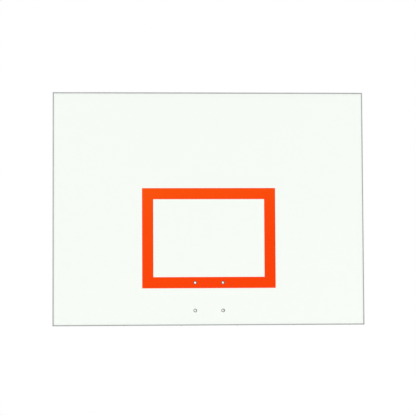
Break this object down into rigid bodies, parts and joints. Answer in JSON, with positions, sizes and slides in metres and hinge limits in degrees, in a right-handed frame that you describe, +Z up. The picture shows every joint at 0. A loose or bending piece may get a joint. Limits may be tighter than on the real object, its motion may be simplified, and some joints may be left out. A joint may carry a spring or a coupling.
{
  "type": "basketball backboard",
  "caption": "Rectangular basketball backboard: white sheet with an orange target, metal edge trim and a welded tube frame, with a bolt pattern for a rim and rear lugs for a support.",
  "frame": {"origin": "centre of the support lugs' four bolt holes, on the plane of the lugs' rear faces", "axes": "+X to the right seen from the court, +Y away from the court towards the support, +Z up"},
  "size_m": [1.4248, 0.0567, 1.0692],
  "materials": {
    "face_white": "smooth white sheet with a satin gloss",
    "target_orange": "orange adhesive film",
    "foam_tape": "black closed-cell foam",
    "trim_metal": "grey, drawn along its length",
    "rivet_metal": "bright",
    "frame_steel": "galvanised, with spangle",
    "plated_steel": "bright zinc plate",
    "sleeve_steel": "drawn steel tube, weathered dark at the front end"
  },
  "bodies": {
    "root": {"face_sheet": "face_white", "target_marking": "target_orange", "bonding_tape": "foam_tape", "edge_trim_top": "trim_metal", "edge_trim_right": "trim_metal", "edge_trim_bottom": "trim_metal", "edge_trim_left": "trim_metal", "trim_rivets": "rivet_metal", "frame_top_rail": "frame_steel", "frame_bottom_rail": "frame_steel", "frame_left_stile": "frame_steel", "frame_right_stile": "frame_steel", "upper_cross_rail": "frame_steel", "lower_cross_rail": "frame_steel", "rim_post_left": "frame_steel", "rim_post_right": "frame_steel", "mid_upright_left": "frame_steel", "mid_upright_right": "frame_steel", "top_upright_left": "frame_steel", "top_upright_right": "frame_steel", "rim_plate": "frame_steel", "rim_sleeves": "sleeve_steel", "lug_upper_left": "frame_steel", "lug_upper_right": "frame_steel", "lug_lower_left": "frame_steel", "lug_lower_right": "frame_steel", "lug_bolts": "plated_steel", "lug_washers": "plated_steel", "lug_inserts": "plated_steel"}
  },
  "joints": []
}
